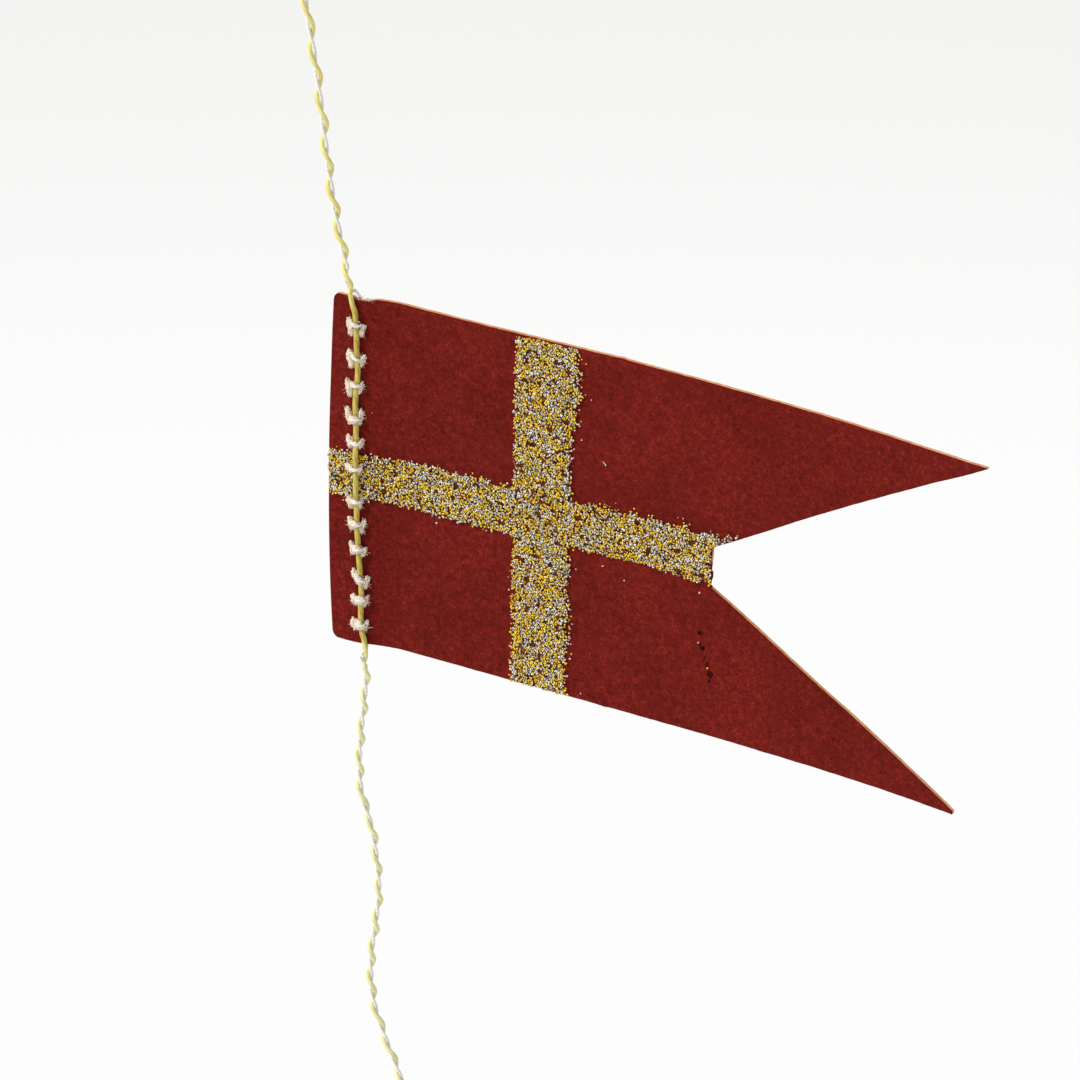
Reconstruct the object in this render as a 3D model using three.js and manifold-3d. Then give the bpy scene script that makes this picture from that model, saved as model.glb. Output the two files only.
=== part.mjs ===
// A swallow-tailed bunting flag of stiff dark red card with a glitter cross, machine-sewn beside its
// hoist edge to a twisted pair of threads that ends in a hanging loop above and a knot below.
// Millimetres, +Z up. Sizes are stated in the flag's own frame: X runs out from the hoist edge, Z is
// 0 at the card's top edge, Y is 0 at the card's middle there, and the decorated face looks to -Y.
// The whole part is then moved so that its origin is where the loop is hung up.
import * as THREE from "three";
import { mergeVertices } from "three/addons/utils/BufferGeometryUtils.js";
import Module from "manifold-3d";

const wasm = await Module();
wasm.setup();

// The gap between pieces that touch each other on the real flag.
const GAP = 0.3;

const CARD = { tall: 40.2, upperFly: 77.5, lowerFly: 74.2, thick: 1.0, corner: 0.8, bluntTip: 0.4 };
// The hoist edge is cut by hand: its top corner stands in, and its middle bows out.
const HOIST = { topIn: 0.9, bow: 0.5, bowDown: 24, bottomIn: 0.1 };
// The notch of the swallow tail, as distances from the hoist edge and down from the top edge.
const NOTCH = { floor: 44.9, top: 18.6, bottom: 23.3, lowerCornerOut: 44.4, lowerCornerDown: 22.7 };
// The knife rounded the notch's upper corner a little, and undercut its lower one.
const NOTCH_CORNER = { across: 0.3, down: 0.2, startsAbove: 1 };
// How the card bends, seen from above: it is pushed back beside the seam and cupped forwards to its tips.
const BEND = { from: 2, to: 8, back: 1.05 };
const CUP = { from: 30, forward: 2.6 };

// The two arms of the glitter cross. Each drifts a little along its length, as it was laid by eye.
const GLITTER = { thick: 0.4, ragged: 0.2, step: 0.95, innerCorner: 0.6 };
const CROSS_ARM = { top: 17.6, bottom: 23.1, rise: 0.55 };
const UPRIGHT = { left: 21.8, leftDrift: -0.7, right: 28.9, rightDrift: -1.1 };

const THREAD = { yellow: 0.67, white: 0.34, sides: 8 };
// Where the free threads hang, in front of the card's middle.
const HANG_Y = -0.6;
// Past the card's edges the seam's thread leans forwards, to meet the free ones.
const SEAM_ENDS = { above: 0.7, topOut: 3.02, below: 0.6, bottomOut: 4.3, forward: 0.4 };
// The needle thread's ends come up behind the same edges, and between holes it hangs a little slack.
const BACK_ENDS = { topOut: 2.9, topBehind: 0.95, bottomOut: 4.1, bottomBehind: 1.05 };
const BACK_SLACK = 0.15;
// The seam's run down the face.
const SEAM = [
  { down: 0, out: 3.05 },
  { down: 1.2, out: 3.45 },
  { down: 3.5, out: 3.68 },
  { down: 10.2, out: 3.25 },
  { down: 16.1, out: 3.15 },
  { down: 23.1, out: 3.05 },
  { down: 26.0, out: 3.35 },
  { down: 35.0, out: 3.45 },
  { down: 37.0, out: 3.85 },
  { down: 38.3, out: 3.7 },
  { down: 40.2, out: 4.1 },
];
// The stitches from the top: the height of the torn lobe on each side, and the drop from left to right.
const STITCHES = [
  { down: 2.85, left: 2.0, right: 1.5, drop: 0.75 },
  { down: 6.65, left: 2.0, right: 1.3, drop: 0.3 },
  { down: 9.95, left: 1.9, right: 1.6, drop: 0.1 },
  { down: 13.55, left: 1.9, right: 1.6, drop: 0 },
  { down: 16.45, left: 1.7, right: 1.5, drop: 0.15 },
  { down: 19.45, left: 1.2, right: 1.1, drop: 0 },
  { down: 23.35, left: 1.6, right: 1.4, drop: 0.15 },
  { down: 26.15, left: 1.6, right: 1.5, drop: 0.25 },
  { down: 28.75, left: 1.7, right: 1.4, drop: 0.3 },
  { down: 32.25, left: 1.8, right: 1.5, drop: 0.7 },
  { down: 34.85, left: 1.5, right: 1.5, drop: 0.1 },
  { down: 37.75, left: 1.6, right: 1.4, drop: 0.25 },
];
const LOBE = { halfWide: 0.32, halfProud: 0.4, beside: 0.34, splay: 12 };
// The angles, from the front, at which the needle thread's loop over the seam is drawn.
const ARCH = [-110, -70, -35, 0, 35, 70, 110];
// Where the thread and its stitches step up onto the glitter, and down again.
const STEP = { upFrom: 15.8, upTo: 17.4, downFrom: 22.3, downTo: 24.0 };

// The free threads, as heights above the top edge and distances out from the hoist edge.
const UPPER_ROUTE = [
  { up: 1.1, out: 3.0 },
  { up: 3.0, out: 2.68 },
  { up: 6.7, out: 1.85 },
  { up: 11.3, out: 0.96 },
  { up: 15.9, out: 0.3 },
  { up: 20.8, out: -0.24 },
  { up: 26.0, out: -0.95 },
  { up: 32.8, out: -2.05 },
  { up: 35.1, out: -2.45 },
];
const LOWER_ROUTE = [
  { up: -41.3, out: 4.37 },
  { up: -44.9, out: 4.28 },
  { up: -48.8, out: 3.86 },
  { up: -52.8, out: 3.5 },
  { up: -56.1, out: 3.48 },
  { up: -58.7, out: 3.85 },
  { up: -61.1, out: 4.7 },
  { up: -65.0, out: 5.4 },
  { up: -69.0, out: 5.69 },
  { up: -73.0, out: 5.31 },
  { up: -76.9, out: 4.75 },
  { up: -80.7, out: 4.63 },
  { up: -84.0, out: 5.15 },
  { up: -87.8, out: 6.57 },
  { up: -91.9, out: 8.31 },
  { up: -93.4, out: 8.95 },
];
// The pair is twisted tightest beside the card, and more loosely the further up it goes.
const UPPER_TWIST = { pitchLow: 4.07, pitchHigh: 6.2, overHeight: 33, start: 0.6 };
const LOWER_TWIST = { pitch: 3.79, firstRight: -43.9 };
const COIL = { yellow: 0.364, white: 0.52, stepsPerTurn: 8, frontTurn: 30 };
const KNOT = { radius: 1.05, wrapRadius: 0.75, wrapThick: 0.38, wrapTilt: 35 };
const LOOP = { long: 11, wide: 4.6, thick: 0.9, lean: -9.7 };
// One side of the loop from the knot up, in shares of its width and length.
const LOOP_SIDE = [
  { across: 0.05, up: 0 },
  { across: 0.42, up: 0.22 },
  { across: 0.5, up: 0.6 },
  { across: 0.34, up: 0.9 },
];
const TAIL = { long: 5.5, spread: 1.6, startsOut: 0.45, shortShare: 0.8 };
// The end knot hangs a little further out than the threads' last points, as they run outwards there.
const END_KNOT_OUT = 0.5;

const RED_CARD = new THREE.MeshStandardMaterial({ color: 0x74201c, roughness: 0.85, flatShading: true });
const GOLD_GLITTER = new THREE.MeshStandardMaterial({ color: 0xb59a4e, roughness: 0.35, metalness: 0.6 });
const YELLOW_THREAD = new THREE.MeshStandardMaterial({ color: 0xcdb94f, roughness: 0.6 });
const WHITE_THREAD = new THREE.MeshStandardMaterial({ color: 0xe9e6de, roughness: 0.5 });
const TORN_FIBRE = new THREE.MeshStandardMaterial({ color: 0xe0c4b4, roughness: 0.9, flatShading: true });

const { smoothstep, degToRad } = THREE.MathUtils;

// A closed geometry as a solid that can be joined and cut.
function solid(geometry) {
  const bare = new THREE.BufferGeometry().setAttribute("position", geometry.getAttribute("position"));
  bare.setIndex(geometry.index);
  const merged = mergeVertices(bare, 1e-4);
  return new wasm.Manifold(
    new wasm.Mesh({
      numProp: 3,
      vertProperties: merged.getAttribute("position").array,
      triVerts: new Uint32Array(merged.index.array),
    }),
  );
}

function geometryOf(body) {
  const { vertProperties, triVerts } = body.getMesh();
  const geometry = new THREE.BufferGeometry();
  geometry.setAttribute("position", new THREE.BufferAttribute(vertProperties, 3));
  geometry.setIndex(new THREE.BufferAttribute(triVerts, 1));
  geometry.computeVertexNormals();
  return geometry;
}

const joined = (...geometries) => geometryOf(geometries.map(solid).reduce((a, b) => a.add(b)));

// How far the card's middle stands back, a distance out from the hoist.
function setBack(out) {
  const cup = Math.max(0, (out - CUP.from) / (CARD.upperFly - CUP.from));
  return BEND.back * smoothstep(out, BEND.from, BEND.to) - CUP.forward * cup ** 3;
}

function heading(out) {
  const reach = 0.1;
  return Math.atan2(setBack(out + reach) - setBack(out - reach), 2 * reach);
}

// The Y of a point that stands proud of the card's middle by a distance, squarely to the face.
const proudY = (out, proud) => setBack(out) - proud / Math.cos(heading(out));

// A layer that follows the card's bend between two distances in front of its middle.
function bentLayer(near, far) {
  const margin = 2;
  const stations = [];
  for (let out = -margin; out < CARD.upperFly + margin; out += out < BEND.to ? 0.8 : 3.4) {
    stations.push(out);
  }
  stations.push(CARD.upperFly + margin);
  const edge = (proud) => stations.map((out) => new THREE.Vector2(out, proudY(out, proud)));
  const section = new THREE.Shape([...edge(far), ...edge(near).reverse()]);
  const depth = CARD.tall + 2 * margin;
  return solid(
    new THREE.ExtrudeGeometry(section, { depth, bevelEnabled: false }).translate(0, 0, margin - depth),
  );
}

// A straight punch through the card along Y, from an outline drawn in X and Z.
function punch(outline) {
  const depth = 8 * (BEND.back + CUP.forward);
  return solid(
    new THREE.ExtrudeGeometry(outline, { depth, bevelEnabled: false, curveSegments: 6 })
      .rotateX(Math.PI / 2)
      .translate(0, depth / 2, 0),
  );
}

function cardOutline() {
  const { tall, upperFly, lowerFly, corner, bluntTip } = CARD;
  const outline = new THREE.Shape();
  outline.moveTo(HOIST.topIn + corner, 0);
  outline.lineTo(upperFly, 0);
  outline.lineTo(upperFly - bluntTip / 2, -bluntTip);
  outline.lineTo(NOTCH.floor + NOTCH_CORNER.across, -NOTCH.top);
  outline.lineTo(NOTCH.floor, -NOTCH.top - NOTCH_CORNER.down);
  outline.lineTo(NOTCH.floor, -NOTCH.lowerCornerDown + NOTCH_CORNER.startsAbove);
  outline.quadraticCurveTo(NOTCH.lowerCornerOut, -NOTCH.lowerCornerDown, NOTCH.floor, -NOTCH.bottom);
  outline.lineTo(lowerFly, -tall + bluntTip);
  outline.lineTo(lowerFly - bluntTip, -tall);
  outline.lineTo(HOIST.bottomIn + corner, -tall);
  outline.quadraticCurveTo(HOIST.bottomIn, -tall, HOIST.bottomIn, -tall + corner);
  outline.quadraticCurveTo(-HOIST.bow, -HOIST.bowDown, HOIST.topIn, -corner);
  outline.quadraticCurveTo(HOIST.topIn, 0, HOIST.topIn + corner, 0);
  return outline;
}

// The uneven rim of strewn grains: two waves of unlike length, shifted from edge to edge.
function ragged(along, shift) {
  return GLITTER.ragged * (Math.sin(4.3 * along + shift) + 0.6 * Math.sin(9.7 * along + 3 * shift));
}

// The points of one ragged edge. place gives the edge's X and Z at a distance along it.
function raggedEdge(from, to, place) {
  const steps = Math.round(Math.abs(to - from) / GLITTER.step);
  return Array.from({ length: steps + 1 }, (_, i) => place(from + ((to - from) * i) / steps));
}

function crossOutline() {
  const over = 1;
  const armTop = (x) => [x, -CROSS_ARM.top + (CROSS_ARM.rise * x) / NOTCH.floor + ragged(x, 1)];
  const armBottom = (x) => [x, -CROSS_ARM.bottom + (CROSS_ARM.rise * x) / NOTCH.floor + ragged(x, 2)];
  const left = (z) => [UPRIGHT.left - (UPRIGHT.leftDrift * z) / CARD.tall + ragged(z, 3) / 2, z];
  const right = (z) => [UPRIGHT.right - (UPRIGHT.rightDrift * z) / CARD.tall + 1.4 * ragged(z, 4), z];
  const { innerCorner } = GLITTER;
  const [above, below] = [-CROSS_ARM.top + innerCorner, -CROSS_ARM.bottom - innerCorner];
  const [leftOf, rightOf] = [UPRIGHT.left - innerCorner, UPRIGHT.right + innerCorner];
  const end = NOTCH.floor + over;
  return new THREE.Shape(
    [
      ...raggedEdge(-over, leftOf, armTop),
      ...raggedEdge(above, over, left),
      ...raggedEdge(over, above, right),
      ...raggedEdge(rightOf, end, armTop),
      ...raggedEdge(end, rightOf, armBottom),
      ...raggedEdge(below, -CARD.tall - over, right),
      ...raggedEdge(-CARD.tall - over, below, left),
      ...raggedEdge(leftOf, -over, armBottom),
    ].map(([x, z]) => new THREE.Vector2(x, z)),
  );
}

// How far the thread and its stitches are raised where they cross the glitter.
function stepUp(down) {
  const up = smoothstep(down, STEP.upFrom, STEP.upTo) * (1 - smoothstep(down, STEP.downFrom, STEP.downTo));
  return (GAP + GLITTER.thick) * up;
}

const seamCurve = new THREE.SplineCurve(SEAM.map(({ down, out }) => new THREE.Vector2(down, out)));
function seamOut(down) {
  const t = SEAM.findIndex((row, i) => i + 1 === SEAM.length - 1 || SEAM[i + 1].down > down);
  const [from, to] = [SEAM[t], SEAM[t + 1]];
  return seamCurve.getPoint((t + (down - from.down) / (to.down - from.down)) / (SEAM.length - 1)).y;
}

// A plain tube along a curve, closed at both ends.
function tube(curve, diameter, steps) {
  const { sides } = THREAD;
  const corners = Array.from({ length: sides }, (_, i) => {
    const angle = (2 * Math.PI * i) / sides;
    return new THREE.Vector2(Math.cos(angle), Math.sin(angle)).multiplyScalar(diameter / 2);
  });
  return new THREE.ExtrudeGeometry(new THREE.Shape(corners), { steps, extrudePath: curve });
}

const smoothCurve = (points) => new THREE.CatmullRomCurve3(points, false, "centripetal");

// One thread of a twisted pair. turns gives the turns made at a height; at a whole turn the thread
// passes in front, and it goes round to the right on its way down.
class CoiledThread extends THREE.Curve {
  constructor(route, turns, coil) {
    super();
    this.route = smoothCurve(route.map(({ up, out }) => new THREE.Vector3(out, HANG_Y, up)));
    this.turns = turns;
    this.coil = coil;
  }
  getPoint(t) {
    const point = this.route.getPointAt(t);
    const angle = 2 * Math.PI * this.turns(point.z) + degToRad(COIL.frontTurn);
    point.x += this.coil * Math.sin(angle);
    point.y -= this.coil * Math.cos(angle);
    return point;
  }
}

function upperTurns(up) {
  const [tight, loose] = [1 / UPPER_TWIST.pitchLow, 1 / UPPER_TWIST.pitchHigh];
  return UPPER_TWIST.start - tight * up - ((loose - tight) * up ** 2) / (2 * UPPER_TWIST.overHeight);
}

const lowerTurns = (up) => 0.25 + (LOWER_TWIST.firstRight - up) / LOWER_TWIST.pitch;

function coiledThread(route, turns, isYellow) {
  const across = isYellow ? 0 : 0.5;
  const coil = isYellow ? COIL.yellow : COIL.white;
  const rounds = Math.abs(turns(route.at(-1).up) - turns(route[0].up));
  const curve = new CoiledThread(route, (up) => turns(up) + across, coil);
  return tube(curve, isYellow ? THREAD.yellow : THREAD.white, Math.round(rounds * COIL.stepsPerTurn));
}

// How far the middle of the seam's yellow thread stands in front of the card's middle.
const SEAM_PROUD = CARD.thick / 2 + GAP + THREAD.yellow / 2;

// The yellow thread of the seam, flat on the face, stepping over the glitter.
function seamThread() {
  const { above, topOut, below, bottomOut, forward } = SEAM_ENDS;
  const spacing = 0.8;
  const points = [new THREE.Vector3(topOut, HANG_Y - forward, above)];
  for (let down = spacing; down < CARD.tall; down += spacing) {
    const out = seamOut(down);
    points.push(new THREE.Vector3(out, proudY(out, SEAM_PROUD + stepUp(down)), -down));
  }
  points.push(new THREE.Vector3(bottomOut, HANG_Y - forward, -CARD.tall - below));
  return tube(smoothCurve(points), THREAD.yellow, 64);
}

// The needle thread behind the card: it dips to the card at each stitch and passes over both edges.
function backThread() {
  const near = -(CARD.thick / 2 + GAP + THREAD.white / 2);
  const loose = near - BACK_SLACK;
  const behind = (down, proud) => {
    const out = seamOut(down);
    return new THREE.Vector3(out, proudY(out, proud), -down);
  };
  const { topOut, topBehind, bottomOut, bottomBehind } = BACK_ENDS;
  const points = [new THREE.Vector3(topOut, topBehind, SEAM_ENDS.above), behind(0.4, loose)];
  STITCHES.forEach(({ down }, i) => {
    const next = STITCHES[i + 1] ? STITCHES[i + 1].down : CARD.tall;
    points.push(behind(down, near), behind((down + next) / 2, loose));
  });
  points.push(new THREE.Vector3(bottomOut, bottomBehind, -CARD.tall - SEAM_ENDS.below));
  return tube(smoothCurve(points), THREAD.white, 72);
}

// One stitch, in a frame on the middle of the yellow thread: the needle thread's loop over it, and
// the lobe of torn card on each side.
function stitch({ left, right, drop }) {
  const reach = THREAD.yellow / 2 + GAP + THREAD.white / 2;
  const arch = smoothCurve(
    ARCH.map((degrees) => {
      const angle = degToRad(degrees);
      return new THREE.Vector3(reach * Math.sin(angle), -reach * Math.cos(angle), 0);
    }),
  );
  const lobe = (side, tall) =>
    new THREE.SphereGeometry(1, 6, 4)
      .scale(LOBE.halfWide, LOBE.halfProud, tall / 2)
      .rotateY(degToRad(side * LOBE.splay))
      .translate(
        side * (THREAD.yellow / 2 + LOBE.beside + LOBE.halfWide),
        THREAD.yellow / 2 - LOBE.halfProud,
        tall / 8 - (side * drop) / 2,
      );
  return joined(tube(arch, THREAD.white, 7), lobe(-1, left), lobe(1, right));
}

// Grains are missing where the needle tore the card up beside the cross arm.
function clearOfStitches(layer) {
  const deep = 6;
  const clear = LOBE.halfWide * 2 + LOBE.beside + THREAD.yellow / 2 + 2 * GAP;
  return STITCHES.filter(({ down }) => stepUp(down) < GAP).reduce(
    (left, { down, left: tall }) =>
      left.subtract(
        solid(new THREE.BoxGeometry(2 * clear, deep, tall + 2 * GAP).translate(seamOut(down), 0, -down)),
      ),
    layer,
  );
}

// A tied knot: a core with two wraps that cross on it.
function knotForms() {
  const wrap = (side) =>
    new THREE.TorusGeometry(KNOT.wrapRadius, KNOT.wrapThick, 6, 14).rotateX(
      Math.PI / 2 + side * degToRad(KNOT.wrapTilt),
    );
  return [new THREE.SphereGeometry(KNOT.radius, 10, 8), wrap(-1), wrap(1)];
}

function loopWithKnot() {
  const { long, wide, thick } = LOOP;
  const side = (sign) =>
    LOOP_SIDE.map(({ across, up }) => new THREE.Vector3(sign * across * wide, 0, up * long));
  const loop = smoothCurve([...side(-1), new THREE.Vector3(0, 0, long), ...side(1).reverse()]);
  return joined(...knotForms(), tube(loop, thick, 36));
}

function knotWithTails() {
  const tail = (sign, share, diameter) => {
    const tip = new THREE.Vector3(sign * TAIL.spread * share, 0, -TAIL.long * share);
    const bend = new THREE.Vector3(sign * TAIL.startsOut, 0, -TAIL.long / 3);
    return tube(smoothCurve([new THREE.Vector3(0, 0, 0), bend, tip]), diameter, 6);
  };
  return joined(...knotForms(), tail(1, 1, THREAD.yellow), tail(-1, TAIL.shortShare, THREAD.white));
}

// The flag, in its own frame.
const flag = new THREE.Group();

function add(name, geometry, material) {
  const mesh = new THREE.Mesh(geometry, material);
  mesh.name = name;
  flag.add(mesh);
  return mesh;
}

const face = CARD.thick / 2;
const cardPunch = punch(cardOutline());
add("flag_card", geometryOf(bentLayer(-face, face).intersect(cardPunch)), RED_CARD);

const grains = bentLayer(face + GAP, face + GAP + GLITTER.thick);
const crossLayer = grains.intersect(punch(crossOutline())).intersect(cardPunch);
add("glitter_cross", geometryOf(clearOfStitches(crossLayer)), GOLD_GLITTER);

add("seam_thread", seamThread(), YELLOW_THREAD);
add("needle_thread", backThread(), WHITE_THREAD);

STITCHES.forEach((row, i) => {
  const mesh = add(`stitch_${String(i + 1).padStart(2, "0")}`, stitch(row), TORN_FIBRE);
  const out = seamOut(row.down);
  mesh.rotation.z = heading(out);
  mesh.position.set(out, proudY(out, SEAM_PROUD + stepUp(row.down)), -row.down);
});

add("upper_yellow", coiledThread(UPPER_ROUTE, upperTurns, true), YELLOW_THREAD);
add("upper_white", coiledThread(UPPER_ROUTE, upperTurns, false), WHITE_THREAD);
add("lower_yellow", coiledThread(LOWER_ROUTE, lowerTurns, true), YELLOW_THREAD);
add("lower_white", coiledThread(LOWER_ROUTE, lowerTurns, false), WHITE_THREAD);

// The knots sit in line with the threads, a gap beyond their ends.
const knotReach = KNOT.radius + GAP;
const upperEnd = UPPER_ROUTE.at(-1);
const loop = add("hanging_loop", loopWithKnot(), YELLOW_THREAD);
loop.rotation.y = degToRad(LOOP.lean);
loop.position.set(upperEnd.out + knotReach * Math.sin(loop.rotation.y), HANG_Y, upperEnd.up + knotReach);

const lowerEnd = LOWER_ROUTE.at(-1);
add("end_knot", knotWithTails(), YELLOW_THREAD).position.set(
  lowerEnd.out + END_KNOT_OUT,
  HANG_Y,
  lowerEnd.up - knotReach,
);

// The part's origin is the inside of the loop's top, where it is hung up.
const part = new THREE.Group();
part.add(flag);
const hang = new THREE.Vector3(0, 0, LOOP.long - LOOP.thick / 2).applyEuler(loop.rotation).add(loop.position);
flag.position.copy(hang).negate();

export default part;
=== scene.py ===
# %% [markdown]
# # A swallow-tailed bunting flag
# One flag of stiff dark red card, with a glitter cross on its face, hangs on a twisted pair of
# threads that is machine-sewn beside its hoist edge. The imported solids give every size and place.
# This lesson dresses them: threads first, then the card, the glitter, the stitches and the knots.

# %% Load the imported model
import math
import random
from collections import Counter

import bpy
import numpy as np
from mathutils import Matrix, Vector, noise


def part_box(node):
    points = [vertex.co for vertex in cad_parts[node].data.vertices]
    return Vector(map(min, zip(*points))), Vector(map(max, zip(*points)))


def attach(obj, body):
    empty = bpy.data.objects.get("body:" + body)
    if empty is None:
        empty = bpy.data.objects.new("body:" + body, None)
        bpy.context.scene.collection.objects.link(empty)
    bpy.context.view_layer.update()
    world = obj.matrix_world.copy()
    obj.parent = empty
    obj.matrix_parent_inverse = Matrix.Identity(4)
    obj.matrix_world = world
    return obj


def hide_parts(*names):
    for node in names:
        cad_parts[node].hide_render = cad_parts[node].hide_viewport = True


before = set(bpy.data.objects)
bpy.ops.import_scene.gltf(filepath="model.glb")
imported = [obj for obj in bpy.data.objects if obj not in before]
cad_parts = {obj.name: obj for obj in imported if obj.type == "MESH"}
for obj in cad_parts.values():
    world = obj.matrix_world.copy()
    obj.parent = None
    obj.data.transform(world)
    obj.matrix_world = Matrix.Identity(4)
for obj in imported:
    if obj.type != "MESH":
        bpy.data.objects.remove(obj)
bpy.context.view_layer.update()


def spans(low, high):
    """A box's three sides, in millimetres."""
    return [round((b - a) * 1000, 1) for a, b in zip(low, high)]


# %% [markdown]
# ## The flag's own frame
# Everything on the flag is measured in millimetres: out from the hoist edge, back from the card's
# middle, and up from its top edge. The card's solid says where that frame lies. The card isn't
# flat: beside the seam it is pushed back, and towards its two tips it cups forwards, so a point on
# it gets its depth from how far out it is.

# %% From the flag's millimetres to the model's metres
MM = 0.001
CARD_TALL, UPPER_FLY, CARD_THICK = 40.2, 77.5, 0.53
# How far the card is pushed back beyond the seam, how far its tips cup forwards, and from where.
PUSHED_BACK, CUPPED, CUP_START = 1.05, 2.6, 30
# The card's solid is 1 mm thick. Its back is this far behind its middle.
HALF_SOLID = 0.5
card_low, card_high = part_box("flag_card")
FLAG_ORIGIN = Vector((
    card_high[0] - UPPER_FLY * MM,
    card_high[1] - (PUSHED_BACK + HALF_SOLID) * MM,
    card_high[2],
))


def smoothstep(x, low, high):
    t = min(1.0, max(0.0, (x - low) / (high - low)))
    return t * t * (3 - 2 * t)


def set_back(out):
    """How far the card's middle stands back, a distance out from the hoist."""
    cup = max(0.0, (out - CUP_START) / (UPPER_FLY - CUP_START))
    return PUSHED_BACK * smoothstep(out, 2, 8) - CUPPED * cup ** 3


def lean(out):
    """The card's slope there, as an angle."""
    return math.atan2(set_back(out + 0.1) - set_back(out - 0.1), 0.2)


def place(out, back, up):
    """A point of the flag's own frame, in the model's metres."""
    return FLAG_ORIGIN + Vector((out, back, up)) * MM


def on_card(out, back, up):
    """The same, with its depth counted from the bent card's middle."""
    return place(out, set_back(out) + back / math.cos(lean(out)), up)


print("the card's solid spans", spans(card_low, card_high), "mm")
print("the flag's own frame starts at", [round(c * 1000, 2) for c in FLAG_ORIGIN], "mm")

# %% [markdown]
# ## The camera
# A long lens from 1 m away, 30 degrees round to the right and 28 degrees up, gives the photograph's
# flat look: the flag's top edge runs down to the right, and its upright edges stay upright.

# %% Camera
AZIMUTH, ELEVATION = math.radians(30), math.radians(28)
SENSOR, LENS = 36, 320.8
LOOKED_AT = (20.659, 7.647, -26.972)
toward_camera = Vector((
    math.sin(AZIMUTH) * math.cos(ELEVATION),
    -math.cos(AZIMUTH) * math.cos(ELEVATION),
    math.sin(ELEVATION),
))
camera_data = bpy.data.cameras.new("camera")
camera_data.sensor_width = SENSOR
camera_data.lens = LENS
camera_data.clip_start = 0.05
camera_data.clip_end = 30
camera = bpy.data.objects.new("camera", camera_data)
camera.location = place(*LOOKED_AT) + toward_camera
camera.rotation_euler = toward_camera.to_track_quat("Z", "Y").to_euler()
bpy.context.scene.collection.objects.link(camera)
bpy.context.scene.camera = camera
print("the camera looks across", round(SENSOR / LENS * 1000, 1), "mm")

# %% [markdown]
# ## Helpers for curves and meshes
# A thread is drawn the way a spline tool would draw it: a smooth curve passes through a short list
# of points, and is then walked in even steps. Many small things are written as one mesh from
# arrays, which is far quicker than joining thousands of objects.


# %% Smooth paths
def smooth_path(points, step):
    """Even steps along a centripetal Catmull-Rom curve through the points."""
    p = [np.array(q, dtype=float) for q in points]
    p = [2 * p[0] - p[1], *p, 2 * p[-1] - p[-2]]
    dense = []
    for a, b, c, d in zip(p, p[1:], p[2:], p[3:]):
        t1 = np.linalg.norm(b - a) ** 0.5
        t2 = t1 + np.linalg.norm(c - b) ** 0.5
        t3 = t2 + np.linalg.norm(d - c) ** 0.5
        pieces = max(3, int(np.linalg.norm(c - b) / step * 2))
        for t in np.linspace(t1, t2, pieces, endpoint=False):
            ab = a + (b - a) * t / t1
            bc = b + (c - b) * (t - t1) / (t2 - t1)
            cd = c + (d - c) * (t - t2) / (t3 - t2)
            abc = ab + (bc - ab) * t / t2
            bcd = bc + (cd - bc) * (t - t1) / (t3 - t1)
            dense.append(abc + (bcd - abc) * (t - t1) / (t2 - t1))
    dense.append(p[-2])
    return evenly(np.array(dense), step)


def steps_of(line):
    """The distance from each point of a line to the next."""
    return np.linalg.norm(np.diff(line, axis=0), axis=1)


def run_of(line):
    """How far along the line each of its points is."""
    return np.concatenate([[0], np.cumsum(steps_of(line))])


def evenly(line, step):
    """The same line, walked in even steps."""
    run = run_of(line)
    stops = np.linspace(0, run[-1], max(2, round(run[-1] / step) + 1))
    return np.stack([np.interp(stops, run, line[:, i]) for i in range(3)], axis=1)


def length_of(line):
    return float(steps_of(line).sum())


arch = smooth_path([(0, 0, 0), (1, 1, 0), (2, 0, 0)], 0.01)
print("a path over an arch 1 high and 2 wide measures", round(length_of(arch), 2))


# %% Frames along a path, and meshes from arrays
def frames_along(line):
    """Two directions across the line at each point, turning no more than the line does."""
    ahead = np.gradient(line, axis=0)
    ahead /= np.linalg.norm(ahead, axis=1)[:, None]
    side = np.empty_like(ahead)
    first = np.cross(ahead[0], (0.0, 1.0, 0.0))
    side[0] = first / np.linalg.norm(first)
    for i in range(1, len(line)):
        s = side[i - 1] - ahead[i] * np.dot(side[i - 1], ahead[i])
        side[i] = s / np.linalg.norm(s)
    return side, np.cross(ahead, side)


def mesh_object(name, vertices, faces):
    mesh = bpy.data.meshes.new(name)
    mesh.from_pydata([tuple(v) for v in vertices], [], faces)
    mesh.update()
    mesh.polygons.foreach_set("use_smooth", [True] * len(mesh.polygons))
    made = bpy.data.objects.new(name, mesh)
    bpy.context.scene.collection.objects.link(made)
    return made


def to_metres(line):
    """Points of the flag's own frame, in the model's metres."""
    return np.array(line) * MM + np.array(FLAG_ORIGIN)


plumb = np.array([(0.0, 0.0, 0.0), (0.0, 0.0, -1.0)])
print("across a line that hangs straight down:", frames_along(plumb)[0][0])

# %% [markdown]
# ## Shader maths as plain expressions
# A procedural finish is mostly arithmetic on noise. One small class wraps a shader socket, so that
# `cloud * 0.3 + grain` writes the Math nodes by itself, and one method adds every other node.
# Colours are written as one sees them on a screen, from 0 to 255.


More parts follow.
